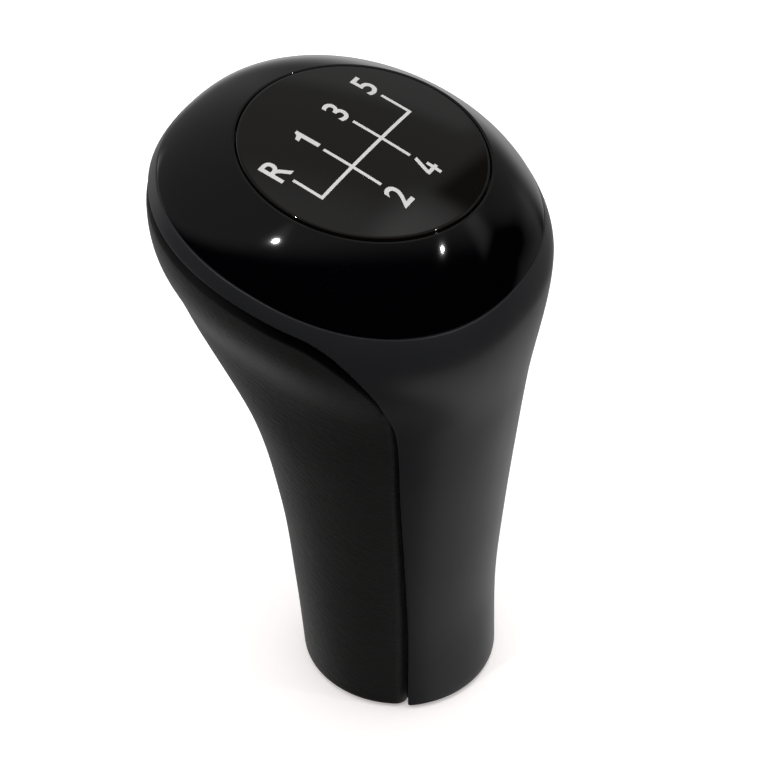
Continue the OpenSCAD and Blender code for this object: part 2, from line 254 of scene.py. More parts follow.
def seam_in_side_view(shift_foot, shift_top, drop, low):
    """Points (y, z) of the seam, from the foot up its straight run and round the corner to the collar."""
    back_foot = SEAM_BACK - shift_foot
    back_top = SEAM_BACK + SEAM_DRIFT - shift_top
    lean = (back_top - back_foot) / SEAM_Z
    rise = math.tan(COLLAR_TILT)
    corner_z = (collar_line(drop) - rise * back_foot) / (1 + rise * lean)
    corner = Vector((-back_foot - lean * corner_z, corner_z))
    down = Vector((lean, -1)).normalized()
    forward = Vector((1, rise)).normalized()
    half_angle = math.acos(down.dot(forward)) / 2
    start = corner + down * SEAM_CORNER / math.tan(half_angle)
    centre = corner + (down + forward).normalized() * SEAM_CORNER / math.sin(half_angle)
    low_turn = math.acos(1 - low / FOOT_ROUND)
    points = []
    for i in range(FOOT_ROWS):
        turn = low_turn + (math.pi / 2 - low_turn) * i / FOOT_ROWS
        z = FOOT_ROUND * (1 - math.cos(turn))
        points.append((-back_foot - lean * z, z))
    for i in range(STRAIGHT_ROWS):
        z = FOOT_ROUND + (start.y - FOOT_ROUND) * i / STRAIGHT_ROWS
        points.append((-back_foot - lean * z, z))
    sweep = math.pi - 2 * half_angle
    arm = start - centre
    for i in range(CORNER_ROWS + 1):
        turn = -sweep * i / CORNER_ROWS
        c, s = math.cos(turn), math.sin(turn)
        points.append((centre.x + arm.x * c - arm.y * s, centre.y + arm.x * s + arm.y * c))
    return points


def find_on_layer(y, z, depth, rounded):
    """Height and angle at which a layer's right half crosses a point of the side view."""
    aim_y, aim_z = y, z
    for _ in range(CORRECTIONS):
        low, high = 0, JOINT_Z
        for _ in range(HEIGHT_HALVINGS):
            h = (low + high) / 2
            if h + (aim_y - section(h)[2]) * math.tan(tilt(h)) < aim_z:
                low = h
            else:
                high = h
        half_length, _, centre, square = section(h)
        share = min(max((aim_y - centre) / math.cos(tilt(h)) / half_length, -1), 1)
        a = math.acos(math.copysign(abs(share) ** (square / 2), share))
        point = layer(h, a, depth, rounded)
        aim_y += y - point.y
        aim_z += z - point.z
    return h, a


def height_at_collar_line(a, depth, drop):
    """Height at which a layer meets the collar's edge line at angle a."""
    h = SEAM_Z - drop
    for _ in range(CORRECTIONS):
        point = layer(h, a, depth)
        h += collar_line(drop) + math.tan(COLLAR_TILT) * point.y - point.z
    return h


def place_grid(bm, columns, rows, place):
    """Adds a grid of cells whose point (i, j) lies at place(i, j)."""
    made = bmesh.ops.create_grid(bm, x_segments=columns, y_segments=rows, size=0.5)
    for v in made["verts"]:
        i, j = round((v.co.x + 0.5) * columns), round((v.co.y + 0.5) * rows)
        v.co = place(i, j) * MM


def make_object(bm, name, material):
    mesh = bpy.data.meshes.new(name)
    bm.to_mesh(mesh)
    bm.free()
    mesh.materials.append(material)
    made = bpy.data.objects.new(name, mesh)
    bpy.context.scene.collection.objects.link(made)
    return made


def finish_mesh(bm, name, material, sharp=SHARP_FROM):
    """Merges what meets, turns the faces outwards and makes a smooth object with sharp edges."""
    bmesh.ops.remove_doubles(bm, verts=bm.verts, dist=MERGE)
    bmesh.ops.dissolve_degenerate(bm, dist=MERGE, edges=bm.edges)
    bmesh.ops.recalc_face_normals(bm, faces=bm.faces)
    piece = make_object(bm, name, material)
    piece.data.shade_smooth()
    piece.data.set_sharp_from_angle(angle=math.radians(sharp))
    return piece


def quarter_round(radius, fall=None):
    """Pairs (set in, sunk) round an edge, from the face to the rim."""
    fall = fall or radius
    turns = [math.pi / 2 * k / ROUND_ROWS for k in range(ROUND_ROWS + 1)]
    return [(radius * (1 - math.sin(t)), fall * (1 - math.cos(t))) for t in turns]


def turn_where(h, depth, measure, aim, low, high):
    """Angle between low and high at which a layer's point has the measure asked for."""
    for _ in range(TURN_HALVINGS):
        a = (low + high) / 2
        if measure(layer(h, a, depth, False)) < aim:
            low = a
        else:
            high = a
    return a


def close_ends(bm):
    bmesh.ops.remove_doubles(bm, verts=bm.verts, dist=MERGE)
    bmesh.ops.holes_fill(bm, edges=bm.edges, sides=0)


class Finish:
    """A procedural material: each node comes from one method, and sockets can be reckoned with."""

    def __init__(self, name):
        self.material = bpy.data.materials.new(name)
        self.material.use_nodes = True
        self.tree = self.material.node_tree
        self.tree.nodes.clear()
        self.place = self.node("ShaderNodeTexCoord", output="Object")

    def node(self, kind, settings=None, inputs=None, output=0):
        made = self.tree.nodes.new(kind)
        for key, value in (settings or {}).items():
            setattr(made, key, value)
        for key, value in (inputs or {}).items():
            if isinstance(value, Wire):
                self.tree.links.new(value.socket, made.inputs[key])
            elif hasattr(value, "__len__") and made.inputs[key].type == "RGBA":
                made.inputs[key].default_value = (*value, 1)
            else:
                made.inputs[key].default_value = value
        return Wire(self, made.outputs[output])

    def noise(self, scale, detail=3, roughness=0.5, at=None):
        inputs = {"Vector": at or self.place, "Scale": scale, "Detail": detail, "Roughness": roughness}
        return self.node("ShaderNodeTexNoise", inputs=inputs)

    def cells(self, scale, feature="F1", at=None):
        inputs = {"Vector": at or self.place, "Scale": scale}
        return self.node("ShaderNodeTexVoronoi", {"feature": feature}, inputs, "Distance")

    def stretched(self, turn, scale):
        inputs = {"Vector": self.place, "Rotation": turn, "Scale": scale}
        return self.node("ShaderNodeMapping", {"vector_type": "TEXTURE"}, inputs)

    def axes(self):
        """The place's x, y and z, in metres."""
        parts = self.node("ShaderNodeSeparateXYZ", inputs={"Vector": self.place})
        return [Wire(self, socket) for socket in parts.socket.node.outputs]

    def mix(self, share, first, second):
        """A colour between two: 0 gives the first."""
        return self.node("ShaderNodeMix", {"data_type": "RGBA"}, {0: share, 6: first, 7: second}, output=2)

    def maths_node(self, operation, first, second=0):
        return self.node("ShaderNodeMath", {"operation": operation}, {0: first, 1: second})

    def smoothstep(self, value, start, end, first=0, last=1):
        """From first to last, with soft ends, while the value goes from start to end."""
        inputs = {"Value": value, "From Min": start, "From Max": end, "To Min": first, "To Max": last}
        return self.node("ShaderNodeMapRange", {"interpolation_type": "SMOOTHSTEP"}, inputs)

    def bump(self, height, strength, distance):
        inputs = {"Height": height, "Strength": strength, "Distance": distance}
        return self.node("ShaderNodeBump", inputs=inputs)

    def surface(self, **inputs):
        names = {key: key.replace("_", " ").title().replace("Ior", "IOR") for key in inputs}
        shader = self.node("ShaderNodeBsdfPrincipled", inputs={names[k]: v for k, v in inputs.items()})
        self.node_output(shader)
        return self.material

    def node_output(self, shader):
        end = self.tree.nodes.new("ShaderNodeOutputMaterial")
        self.tree.links.new(shader.socket, end.inputs["Surface"])


class Wire:
    """A socket of a finish that adds, subtracts, multiplies and compares like a number."""

    def __init__(self, finish, socket):
        self.finish = finish
        self.socket = socket

    def maths(self, operation, first, second):
        return self.finish.maths_node(operation, first, second)

    def __add__(self, other):
        return self.maths("ADD", self, other)

    def __radd__(self, other):
        return self.maths("ADD", other, self)

    def __sub__(self, other):
        return self.maths("SUBTRACT", self, other)

    def __rsub__(self, other):
        return self.maths("SUBTRACT", other, self)

    def __mul__(self, other):
        return self.maths("MULTIPLY", self, other)

    def __lt__(self, other):
        return self.maths("LESS_THAN", self, other)

    def __gt__(self, other):
        return self.maths("GREATER_THAN", self, other)


def piano_lacquer():
    """Deep blue-black lacquer with fine dust and faint swirl haze."""
    f = Finish("piano_lacquer")
    dust = (f.cells(3400) < 0.13) * (f.noise(150, 2) > 0.6)
    haze = f.noise(260, 4, 0.6)
    return f.surface(
        base_color=f.mix(dust, (0.0005, 0.0005, 0.0009), (0.007, 0.007, 0.009)),
        roughness=0.035 + haze * 0.03 + dust * 0.15,
        ior=1.5,
    )


def disc_gloss():
    f = Finish("disc_clear_gloss")
    haze = f.noise(300, 3, 0.6)
    specks = (f.cells(2400) < 0.1) * (f.noise(170, 2) > 0.6)
    return f.surface(
        base_color=f.mix(specks, (0.0024, 0.0018, 0.0015), (0.014, 0.013, 0.012)),
        roughness=0.03 + haze * 0.03 + specks * 0.3,
        ior=1.5,
    )


def satin_soft_touch():
    f = Finish("satin_soft_touch")
    fine = f.noise(5200, 2, 0.5)
    wear = f.noise(70, 4, 0.6)
    return f.surface(
        base_color=f.mix(wear, (0.0115, 0.0118, 0.0138), (0.0145, 0.0146, 0.0165)),
        roughness=0.36 + wear * 0.08,
        ior=1.46,
        sheen_weight=0.1,
        sheen_roughness=0.35,
        normal=f.bump(fine, 0.25, 0.00002),
    )


# Painted shade on the leather under the collar's lip and round the seam's corner, where the lip shades the
# rolled hem: near-black colour, rougher and with less reflection. Its width is SHADE_LEAST level with the
# corner's centre and grows by SHADE_GROWS with the height above it. It fades down the straight seam, and
# partly between two places towards the front.
LIP_SHADE_COLOUR = (0.0002, 0.0002, 0.0003)
SHADE_LEAST = 0.35
SHADE_GROWS = 0.13
SHADE_SOFT = 0.3
SHADE_STARTS = (-1.5, 0.5)
SHADE_FADES = (0, 16)
SHADE_AT_FRONT = 0.5


def shade_under_collar_lip(f):
    """1 on the leather's painted shade under the collar's lip and 0 away from it."""
    y, z = (axis * (1 / MM) for axis in f.axes()[1:])
    corner = seam_in_side_view(0, 0, 0, 0)[-1]
    cos, sin = math.cos(COLLAR_TILT), math.sin(COLLAR_TILT)
    off_y, off_z = y - (corner[0] + SEAM_CORNER * sin), z - (corner[1] - SEAM_CORNER * cos)
    past = f.maths_node("MAXIMUM", (off_y * cos + off_z * sin) * -1, 0)
    up = off_z * cos - off_y * sin
    above = f.maths_node("MAXIMUM", up, 0)
    reach = f.maths_node("SQRT", past * past + above * above)
    spare = SHADE_LEAST + above * SHADE_GROWS - (SEAM_CORNER - reach)
    painted_shade = f.smoothstep(spare, -SHADE_SOFT, SHADE_SOFT) * f.smoothstep(up, *SHADE_STARTS)
    return painted_shade * f.smoothstep(y, *SHADE_FADES, 1, SHADE_AT_FRONT)


# The leather's grain leans forward as it rises
GRAIN_TURN = (math.radians(27), 0, 0)


def nappa_leather():
    """Fine-grained leather with painted shade along the collar's lip and in its creases: creases rise to the
    front, over small pebbles.
    """
    f = Finish("nappa_leather")
    creases = f.noise(2600, 3, 0.6, f.stretched(GRAIN_TURN, (7, 7, 1)))
    pebbles = f.cells(3000, "SMOOTH_F1", f.stretched(GRAIN_TURN, (2.2, 2.2, 1)))
    tone = f.noise(90, 4, 0.6)
    grain = creases * 0.8 + pebbles * 0.5
    dark = f.mix(tone, (0.0066, 0.0058, 0.0056), (0.0092, 0.0082, 0.0079))
    # Painted shade in the creases: the colour is darker where the crease pattern lies low, over the leather's
    # own random tone.
    crease_shaded_face = f.mix(creases, dark, (0.0145, 0.013, 0.0124))
    # Painted shade under the collar's lip: near-black colour, more roughness and less reflection where the
    # mask is 1.
    edge = shade_under_collar_lip(f)
    return f.surface(
        base_color=f.mix(edge, crease_shaded_face, LIP_SHADE_COLOUR),
        roughness=0.52 + pebbles * 0.1 + edge * 0.4,
        ior=1.42,
        specular_ior_level=0.5 - edge * 0.45,
        sheen_weight=0.06,
        sheen_roughness=0.4,
        normal=f.bump(grain, 0.7, 0.00011),
    )


def hot_foil():
    f = Finish("silver_foil")
    brushed = f.noise(1500, 3, 0.6)
    return f.surface(
        base_color=f.mix(brushed, (0.58, 0.575, 0.57), (0.68, 0.675, 0.665)),
        metallic=0.35,
        roughness=0.3 + brushed * 0.14,
    )


def moulded(name, colour, roughness, speckle):
    """Plastic, rubber or foam as moulded, with a fine uneven grain."""
    f = Finish(name)
    grain = f.noise(3200, 3, 0.6)
    tone = f.noise(220, 3, 0.5)
    lighter = tuple(min(1, c * (1 + speckle)) for c in colour)
    return f.surface(
        base_color=f.mix(tone, colour, lighter),
        roughness=roughness + grain * 0.08,
        normal=f.bump(grain, 0.3, 0.00003),
    )


def drawn_steel():
    f = Finish("drawn_spring_steel")
    scratches = f.noise(2400, 4, 0.6, f.stretched((0, 0, 0), (1, 1, 6)))
    return f.surface(
        base_color=f.mix(scratches, (0.5, 0.51, 0.53), (0.6, 0.61, 0.63)),
        metallic=1.0,
        roughness=0.22 + scratches * 0.18,
    )


def crown_rows():
    """The crown's closed section: up the skirt, over the dome, into the disc's seat and back inside."""
    rows = [("skin", SHELF_TOP + SLIP, LEG_UNDER), ("skin", SHELF_TOP + SLIP, SPIGOT_DEPTH)]
    rows.append(("skin", JOINT_Z, SPIGOT_DEPTH))
    rows += [("skin", JOINT_Z + set_in, sunk) for set_in, sunk in reversed(quarter_round(JOINT_ROUND))]
    start = JOINT_Z + JOINT_ROUND
    for i in range(1, DOME_ROWS + 1):
        rows.append(("skin", start + (DISC_Z - start) * math.sin(math.pi / 2 * i / DOME_ROWS), 0))
    rows += [("disc", SEAT_R + set_in, -sunk) for set_in, sunk in quarter_round(LAND_ROUND)]
    rows += [("disc", SEAT_R, -SEAT_DEPTH), ("disc", HUB_R, -SEAT_DEPTH), ("disc", HUB_R, -FLOOR_UNDER)]
    return rows + [("disc", OPENING_R - FLOOR_INSET, -FLOOR_UNDER), ("skin", SKIRT_Z, LEG_UNDER)]


def add_leg(bm, turn):
    """A snap leg under the crown's skirt, with its barb."""
    path = [
        (JOINT_Z, LEG_UNDER), (LEG_LOW, LEG_UNDER), (LEG_LOW, LEG_DEPTH), (LEG_LOW + BARB_LEAD, BARB_DEPTH),
        (SEAM_Z - SLIP, BARB_DEPTH), (SEAM_Z - SLIP, LEG_DEPTH), (JOINT_Z, LEG_DEPTH),
    ]
    reach = math.pi / 8

    def across(point):
        return (point.y - FORWARD[-1]) * math.sin(turn) - point.x * math.cos(turn)

    def place(i, j):
        h, depth = path[j % len(path)]
        aim = LEG_W * (i / LEG_COLUMNS - 0.5)
        a = turn_where(h, depth, across, aim, turn + reach, turn - reach)
        return layer(h, a, depth, False)

    place_grid(bm, LEG_COLUMNS, len(path), place)


def crown(material):
    """The moulded crown with its seat for the disc and four snap legs."""
    rows = crown_rows()

    def place(i, j):
        kind, first, second = rows[j % len(rows)]
        a = 2 * math.pi * (i % AROUND) / AROUND
        return ring_point(first, a, second) if kind == "skin" else disc_point(first, a, second)

    bm = bmesh.new()
    place_grid(bm, AROUND, len(rows), place)
    for k in range(LEGS):
        add_leg(bm, 2 * math.pi * (k + 0.5) / LEGS)
    close_ends(bm)
    piece = finish_mesh(bm, "crown", material)
    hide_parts("head_cap")
    return piece


def gear_disc(material):
    """The domed disc, turned from its profile."""
    profile = [(0, -DISC_EDGE), (DISC_R - DISC_CHAMFER, -DISC_EDGE), (DISC_R, DISC_CHAMFER - DISC_EDGE)]
    for k in range(DISC_ROUND_ROWS + 1):
        turn = math.pi / 2 * k / DISC_ROUND_ROWS
        r = DISC_FLAT_R + DISC_ROUND * math.cos(turn)
        profile.append((r, DISC_ROUND * math.sin(turn) - DISC_ROUND))
    for i in range(1, DISC_DOME_ROWS + 1):
        r = DISC_FLAT_R * math.cos(math.pi / 2 * i / DISC_DOME_ROWS)
        profile.append((r, dome(r)))
    bm = bmesh.new()
    points = [bm.verts.new((r * MM, 0, z * MM)) for r, z in profile]
    edges = [bm.edges.new(pair) for pair in zip(points, points[1:])]
    bmesh.ops.spin(bm, geom=points + edges, cent=(0, 0, 0), axis=(0, 0, 1), dvec=(0, 0, 0),
                   angle=2 * math.pi, steps=AROUND, use_merge=True, use_duplicate=False)
    bmesh.ops.transform(bm, matrix=disc_frame() @ Matrix.Translation((0, 0, DISC_PROUD * MM)), verts=bm.verts)
    piece = finish_mesh(bm, "gear_disc", material)
    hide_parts("pattern_disc")
    return piece


def disc_frame():
    """From the disc's own axes, with the crown's opening at z = 0, to the knob's."""
    return Matrix.Translation((0, DISC_FORWARD * MM, DISC_Z * MM)) @ Matrix.Rotation(DISC_TILT, 4, "X")


def leather_layer(set_in, depth, rounded=True, at_collar=1):
    """Points of a layer of the leather, i across and j up, with its edges set in, more at the collar."""
    drop = LIP_GAP + set_in * at_collar
    seam = seam_in_side_view(SEAM_GAP_FOOT / 2 + set_in, SEAM_GAP_TOP / 2 + set_in, drop, LEATHER_LIFT)
    ends = [find_on_layer(y, z, depth, rounded) for y, z in seam]

    def place(i, j):
        h, end = ends[j]
        a = end * (2 * i / LEATHER_COLUMNS - 1)
        if j == SIDE_ROWS:
            h = height_at_collar_line(a, depth, drop)
        return layer(h, a, depth, rounded)

    return place


def leather_rim():
    """Grid places round the leather's edge: the foot, up the right seam, back under the collar, and down."""
    last_i, last_j = LEATHER_COLUMNS, SIDE_ROWS
    rim = [(i, 0) for i in range(last_i)] + [(last_i, j) for j in range(last_j)]
    return rim + [(i, last_j) for i in range(last_i, 0, -1)] + [(0, j) for j in range(last_j, 0, -1)]


def leather_facing(material):
    """The leather: its face, a rolled hem all round, and the turned-in edge behind."""
    rim = leather_rim()
    rolled = quarter_round(HEM_ROUND, HEM_FALL)
    hem = [leather_layer(set_in, LEATHER_SINK + sunk, at_collar=HEM_AT_COLLAR) for set_in, sunk in rolled]
    behind = [
        leather_layer(0, HEM_UNDER, False),
        leather_layer(LEATHER_T, HEM_UNDER, False),
        leather_layer(LEATHER_T, LEATHER_UNDER, False),
    ]
    loops = hem + behind
    bm = bmesh.new()
    place_grid(bm, LEATHER_COLUMNS, SIDE_ROWS, hem[0])
    place_grid(bm, LEATHER_COLUMNS, SIDE_ROWS, behind[-1])
    place_grid(bm, len(rim), len(loops) - 1, lambda i, k: loops[k](*rim[i % len(rim)]))
    piece = finish_mesh(bm, "leather_facing", material, LEATHER_SHARP_FROM)
    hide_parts("leather_cover")
    return piece


def housing_layer(set_in, depth, rounded=True):
    """Places of a layer of the housing: one for the spine, one for the collar above it."""
    drop = -set_in
    seam = seam_in_side_view(-SEAM_GAP_FOOT / 2 - set_in, -SEAM_GAP_TOP / 2 - set_in, drop, 0)
    ends = [find_on_layer(y, z, depth, rounded) for y, z in seam]
    top_h, top_a = ends[-1]

    def spine(i, j):
        h, end = ends[j]
        return layer(h, end + (2 * math.pi - 2 * end) * i / BACK_COLUMNS, depth, rounded)

    def collar(i, j):
        i %= COLLAR_COLUMNS
        share = j / COLLAR_ROWS
        if i <= BACK_COLUMNS:
            a = top_a + (2 * math.pi - 2 * top_a) * i / BACK_COLUMNS
            low = top_h
        else:
            a = 2 * math.pi - top_a + 2 * top_a * (i - BACK_COLUMNS) / LEATHER_COLUMNS
            low = height_at_collar_line(a, depth, drop)
        return layer(low + (JOINT_Z - set_in - low) * share, a, depth, rounded)

    return spine, collar


def housing_rim():
    """Grid places round the housing's lower edge, as (is collar, i, j)."""
    rim = [(True, i, 0) for i in range(BACK_COLUMNS, COLLAR_COLUMNS)]
    rim += [(False, 0, j) for j in range(SIDE_ROWS, 0, -1)]
    rim += [(False, i, 0) for i in range(BACK_COLUMNS)]
    return rim + [(False, BACK_COLUMNS, j) for j in range(SIDE_ROWS)]


def add_shelf(bm):
    """The ledge inside the collar that the crown's legs hook under."""
    path = [(SEAM_Z, HOUSING_WALL - SLIP), (SHELF_TOP, HOUSING_WALL - SLIP)]
    path += [(SHELF_TOP, SHELF_DEPTH), (SEAM_Z, SHELF_DEPTH)]

    def place(i, j):
        h, depth = path[j % len(path)]
        return layer(h, 2 * math.pi * (i % AROUND) / AROUND, depth)

    place_grid(bm, AROUND, len(path), place)


def add_spine_rib(bm, x):
    """An upright rib inside the spine."""
    near, far = HOUSING_WALL - SLIP, HOUSING_WALL + SPINE_RIB
    left, right = x - RIB_T / 2, x + RIB_T / 2
    corners = [(left, near), (right, near), (right, far), (left, far)]
    reach = 0.4 * math.pi

    def place(i, j):
        side, depth = corners[i % len(corners)]
        h = RIB_LOW + (RIB_TOP - RIB_LOW) * j / RIB_ROWS
        a = turn_where(h, depth, lambda point: point.x, side, math.pi + reach, math.pi - reach)
        return layer(h, a, depth, False)

    place_grid(bm, len(corners), RIB_ROWS, place)


def rear_housing(material):
    """The housing: spine and collar in one, with rounded lips, the shelf inside the collar and two ribs."""
    rim = housing_rim()
    lips = [housing_layer(set_in, sunk) for set_in, sunk in quarter_round(LIP_ROUND)]
    lips.append(housing_layer(0, HOUSING_WALL, False))
    bm = bmesh.new()
    for spine, collar in (lips[0], lips[-1]):
        place_grid(bm, BACK_COLUMNS, SIDE_ROWS, spine)
        place_grid(bm, COLLAR_COLUMNS, COLLAR_ROWS, collar)

    def lower(i, k):
        in_collar, column, row = rim[i % len(rim)]
        return lips[k][1 if in_collar else 0](column, row)

    place_grid(bm, len(rim), len(lips) - 1, lower)
    place_grid(bm, COLLAR_COLUMNS, len(lips) - 1, lambda i, k: lips[k][1](i, COLLAR_ROWS))
    add_shelf(bm)
    for x in (-RIB_X, RIB_X):
        add_spine_rib(bm, x)
    close_ends(bm)
    piece = finish_mesh(bm, "rear_housing", material)
    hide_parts("body_shell")
    return piece


# The gear pattern on the disc: columns 1-2, 3-4 and 5 and R beside them, in the disc's own axes
COLUMN = 6.9
COLUMN_LEAN = 0.073
MARKS_CENTRE = (-0.97, -0.9)
NUMERAL_HEIGHT = 3.7
NUMERAL_WIDE = 0.92
NUMERAL_BOLD = 0.014
NUMERAL_STEPS = 6
NUMERAL_Y = 7.05
GATE_REACH = 4.4
LINE_W = 0.45
BAR_CELLS = 8
FOIL_T = 0.03
GLYPHS = [("R", -1.5, 1), ("1", -0.5, 1), ("3", 0.5, 1), ("5", 1.5, 1), ("2", -0.5, -1), ("4", 0.5, -1)]
ONE = [
    (0.16, -0.5), (0.16, 0.5), (0.02, 0.5), (-0.06, 0.38),
    (-0.26, 0.31), (-0.26, 0.15), (-0.04, 0.19), (-0.04, -0.5),
]
OPEN_FOUR = [
    (-0.06, 0.5), (-0.3, -0.13), (-0.3, -0.27), (0.07, -0.27), (0.07, -0.5), (0.22, -0.5), (0.22, -0.27),
    (0.32, -0.27), (0.32, -0.13), (0.22, -0.13), (0.22, 0.1), (0.07, 0.1), (0.07, -0.13), (-0.13, -0.13),
    (0.11, 0.5),
]
OWN_GLYPHS = {"1": ONE, "4": OPEN_FOUR}


def raise_to_face(bm):
    """Leans the flat marks, lays them on the disc's domed face and gives them their thickness."""
    for v in bm.verts:
        v.co.x += COLUMN_LEAN * (v.co.y - MARKS_CENTRE[1])
        v.co.z = DISC_PROUD + dome(math.hypot(v.co.x, v.co.y)) - FOIL_T
    made = bmesh.ops.extrude_face_region(bm, geom=bm.faces[:])
    raised = [v for v in made["geom"] if isinstance(v, bmesh.types.BMVert)]
    bmesh.ops.translate(bm, verts=raised, vec=(0, 0, 2 * FOIL_T))


def add_bar(bm, x0, y0, x1, y1):
    """A flat bar of the gate's lines, in short cells that follow the dome."""
    made = bmesh.ops.create_grid(bm, x_segments=BAR_CELLS, y_segments=BAR_CELLS, size=0.5)
    for v in made["verts"]:
        share_x, share_y = v.co.x + 0.5, v.co.y + 0.5
        v.co = Vector((x0 + (x1 - x0) * share_x, y0 + (y1 - y0) * share_y, 0))


def numeral(character):
    """A numeral as a flat mesh of its own, with its cap height 1 and its middle at the origin."""
    glyph = bmesh.new()
    if character in OWN_GLYPHS:
        glyph.faces.new([glyph.verts.new((x, y, 0)) for x, y in OWN_GLYPHS[character]])
        return glyph
    text = bpy.data.curves.new("numeral", "FONT")
    text.body = character
    text.offset = NUMERAL_BOLD
    text.resolution_u = NUMERAL_STEPS
    holder = bpy.data.objects.new("numeral", text)
    bpy.context.scene.collection.objects.link(holder)
    bpy.context.view_layer.update()
    mesh = bpy.data.meshes.new_from_object(holder.evaluated_get(bpy.context.evaluated_depsgraph_get()))
    bpy.data.objects.remove(holder)
    bpy.data.curves.remove(text)
    glyph.from_mesh(mesh)
    bpy.data.meshes.remove(mesh)
    xs = [v.co.x for v in glyph.verts]
    ys = [v.co.y for v in glyph.verts]
    size = 1 / (max(ys) - min(ys))
    middle = Vector((max(xs) + min(xs), max(ys) + min(ys), 0)) / 2
    for v in glyph.verts:
        v.co = (v.co - middle) * size
    return glyph


def add_numeral(bm, character, x, y):
    glyph = numeral(character)
    for v in glyph.verts:
        v.co = Vector((x + v.co.x * NUMERAL_HEIGHT * NUMERAL_WIDE, y + v.co.y * NUMERAL_HEIGHT, 0))
    held = bpy.data.meshes.new("glyph")
    glyph.to_mesh(held)
    glyph.free()
    bm.from_mesh(held)
    bpy.data.meshes.remove(held)


def gear_marks(material):
    """Numerals and gate lines in silver foil."""
    cx, cy = MARKS_CENTRE
    half = LINE_W / 2
    bm = bmesh.new()
    for character, column, side in GLYPHS:
        add_numeral(bm, character, cx + column * COLUMN, cy + side * NUMERAL_Y)
    for column in (-0.5, 0.5):
        x = cx + column * COLUMN
        add_bar(bm, x - half, cy - GATE_REACH, x + half, cy + GATE_REACH)
    for column in (-1.5, 1.5):
        x = cx + column * COLUMN
        add_bar(bm, x - half, cy - half, x + half, cy + GATE_REACH)
    add_bar(bm, cx - 1.5 * COLUMN, cy - half, cx + 1.5 * COLUMN, cy + half)
    raise_to_face(bm)
    bmesh.ops.transform(bm, matrix=disc_frame() @ Matrix.Scale(MM, 4), verts=bm.verts)
    piece = finish_mesh(bm, "gear_marks", material)
    return piece


def dress_inner_nodes():
    """Finishes of the carried-over pieces, which keep their own shape."""
    finishes = {
        "disc_pad": moulded("adhesive_foam", (0.55, 0.55, 0.53), 0.75, 0.1),
        "front_panel": moulded("panel_plastic", (0.006, 0.006, 0.007), 0.6, 0.25),
        "core": moulded("glass_filled_nylon", (0.045, 0.045, 0.047), 0.5, 0.5),
        "damper_sleeve": moulded("damper_rubber", (0.014, 0.014, 0.014), 0.7, 0.3),
        "lever_socket": moulded("natural_nylon", (0.66, 0.64, 0.58), 0.4, 0.08),
        "retaining_ring": drawn_steel(),
    }
    for name, material in finishes.items():
        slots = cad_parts[name].data.materials
        slots.clear()
        slots.append(material)


# Where the photograph was taken from, fitted to the knob's outline
CAMERA_PLACE = Vector((-221.88, -133.25, 276.76))
CAMERA_RIGHT = Vector((0.5166, -0.8562, -0.0056))
CAMERA_UP = Vector((0.5676, 0.3376, 0.7509))
FOCAL_PIXELS = 2600
FRAME_PIXELS = 768
SENSOR = 36
CLIP_START = 0.01


def set_camera():
    camera = bpy.data.cameras.new("camera")
    camera.sensor_width = SENSOR
    camera.lens = FOCAL_PIXELS / FRAME_PIXELS * SENSOR
    camera.clip_start = CLIP_START
    holder = bpy.data.objects.new("camera", camera)
    right = CAMERA_RIGHT.normalized()
    back = right.cross(CAMERA_UP).normalized()
    up = back.cross(right)
    turn = Matrix((right, up, back)).transposed().to_4x4()
    holder.matrix_world = Matrix.Translation(CAMERA_PLACE * MM) @ turn
    bpy.context.scene.collection.objects.link(holder)
    bpy.context.scene.camera = holder


def direction(azimuth, elevation):
    """Unit vector: azimuth 0 is the front, +Y, and 90 the right, +X."""
    a, e = math.radians(azimuth), math.radians(elevation)
    return Vector((math.sin(a) * math.cos(e), math.cos(a) * math.cos(e), math.sin(e)))


# The floor is a sheet of paper that lies mostly behind the knob. These sizes and those below are in metres.
FLOOR_R = 0.9
FLOOR_IN_FRONT = 0.06
FLOOR_CORNERS = 128
FLOOR_GLOW = 0.3

# Strength of the world's white as light on the scene
SOFT_LIGHT = 0.55

# What gloss shows: one wide soft light behind and above the knob, seen to a round edge, and black on the
# camera's side. Aim and size are azimuth, elevation, radius and softness of the edge in degrees.
OVERHEAD = (63, 50)
OVERHEAD_RADIUS = 73
OVERHEAD_EDGE = 14
OVERHEAD_GLOW = 0.24

# Lighter and darker parts of the surroundings: azimuth, elevation, half width, half height, edge, brightness
PATCHES = {
    "floor_all_round": (95, -52, 112, 12, 14, 0.55),
    "low_wall_behind": (20, -26, 72, 16, 20, 0.45),
    "low_wall_on_the_right": (118, -16, 16, 10, 10, 0.12),
    "pale_edge_behind": (2, 2, 16, 8, 10, 0.8),
    "band_behind": (66, 30, 16, 8, 3, 0.18),
    "high_behind": (78, 66, 25, 13, 8, 0.18),
    "glow_behind": (87, 53, 4, 4, 6, 0.4),
    "strip_on_the_right": (141, 22, 5, 14, 8, 0.2),
    "low_edge_on_the_right": (98, -46, 12, 8, 8, 0.25),
    "haze_round_the_lamp": (289, 58, 4, 4, 8, 0.3),
    "dim_belt_on_the_right": (95, 2, 45, 14, 14, -0.12),
    "dark_gap_on_the_right": (97, 42, 12, 6, 2.5, -0.2),
}
SURROUNDINGS_R = 1.5
SURROUNDINGS_DETAIL = 5
LIGHTS_AIM = Vector((0, 0.006, 0.06))

# Lamps: azimuth, elevation, distance, width, power, and whether gloss shows them
LAMPS = {
    "overhead_softbox": (60, 84, 1, 1.1, 9, False),
    "left_lamp": (287, 56, 0.9, 0.024, 0.9, True),
    "right_lamp": (166, 30, 0.9, 0.02, 0.7, True),
}


def stage_mesh(bm, name, material):
    piece = make_object(bm, name, material)
    return piece


